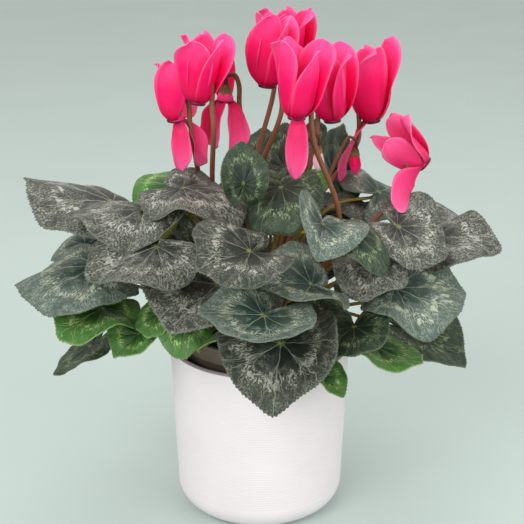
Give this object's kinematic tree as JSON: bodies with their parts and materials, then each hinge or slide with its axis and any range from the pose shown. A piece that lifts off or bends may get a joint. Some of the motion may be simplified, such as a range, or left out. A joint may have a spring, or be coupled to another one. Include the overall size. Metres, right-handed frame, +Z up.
{
  "type": "potted cyclamen",
  "caption": "Flowering cyclamen with pink swept-back petals over silver-marbled heart-shaped leaves, in a plastic nursery pot inside a white ribbed planter.",
  "frame": {"origin": "centre of the planter's underside", "axes": "+Z up along the planter's axis, -Y towards the front that the picture shows, +X to the picture's right"},
  "size_m": [0.3475, 0.2887, 0.3788],
  "materials": {
    "planter_glaze": "satin white with fine level ribs",
    "nursery_plastic": "matte taupe",
    "peat": "rough dark brown peat",
    "stalk": "satin red-brown stalks on a corky brown tuber",
    "silver_leaf": "matte dark green with silver marbling",
    "young_leaf": "satin green with pale marbling",
    "petal_pink": "soft satin pink",
    "petal_pale": "soft satin pale pink"
  },
  "bodies": {
    "root": {"planter": "planter_glaze", "nursery_pot": "nursery_plastic", "potting_soil": "peat", "tuber_with_stalks": "stalk", "leaf_back_1": "silver_leaf", "leaf_back_2": "silver_leaf", "leaf_back_3": "silver_leaf", "leaf_back_4": "silver_leaf", "leaf_back_5": "silver_leaf", "leaf_back_upright_small": "young_leaf", "leaf_back_upright_right": "silver_leaf", "leaf_back_mid_olive": "silver_leaf", "leaf_back_upright_mid": "silver_leaf", "leaf_right_back_top": "silver_leaf", "leaf_right_back_olive_hi": "silver_leaf", "leaf_back_left_green": "young_leaf", "leaf_left_dark_behind": "silver_leaf", "leaf_right_back_olive_lo": "silver_leaf", "leaf_right_far": "silver_leaf", "leaf_left_far": "silver_leaf", "leaf_upper_dark": "silver_leaf", "leaf_right_grey_top": "silver_leaf", "leaf_left_hanging": "young_leaf", "leaf_right_lower_back": "silver_leaf", "leaf_small_round_top": "young_leaf", "leaf_upper_left": "silver_leaf", "leaf_upright_mid": "silver_leaf", "leaf_left_lower": "silver_leaf", "leaf_left_upper": "silver_leaf", "leaf_right_upper_big": "silver_leaf", "leaf_left_green": "young_leaf", "leaf_right_lower_big": "silver_leaf", "leaf_upper_mid": "silver_leaf", "leaf_left_dark_small": "young_leaf", "leaf_left_small": "young_leaf", "leaf_right_bright": "young_leaf", "leaf_left_mid": "silver_leaf", "leaf_right_mid_low": "silver_leaf", "leaf_right_mid": "silver_leaf", "leaf_rim_left": "young_leaf", "leaf_rim_small_right": "young_leaf", "leaf_centre_right_round": "silver_leaf", "leaf_right_low_round": "silver_leaf", "leaf_front_left_big": "silver_leaf", "leaf_centre": "silver_leaf", "leaf_centre_left": "silver_leaf", "leaf_front_low": "silver_leaf", "leaf_rim_front": "young_leaf", "leaf_front_mid": "silver_leaf", "bloom_back_centre": "petal_pink", "bloom_back_right": "petal_pink", "bloom_hanging": "petal_pink", "bloom_top_centre": "petal_pink", "bloom_left_low": "petal_pink", "bloom_right_centre": "petal_pink", "bloom_left_tall": "petal_pink", "bloom_far_right": "petal_pink", "bloom_front_centre": "petal_pink", "bud_pale": "petal_pale", "bud_pink": "petal_pink"}
  },
  "joints": []
}
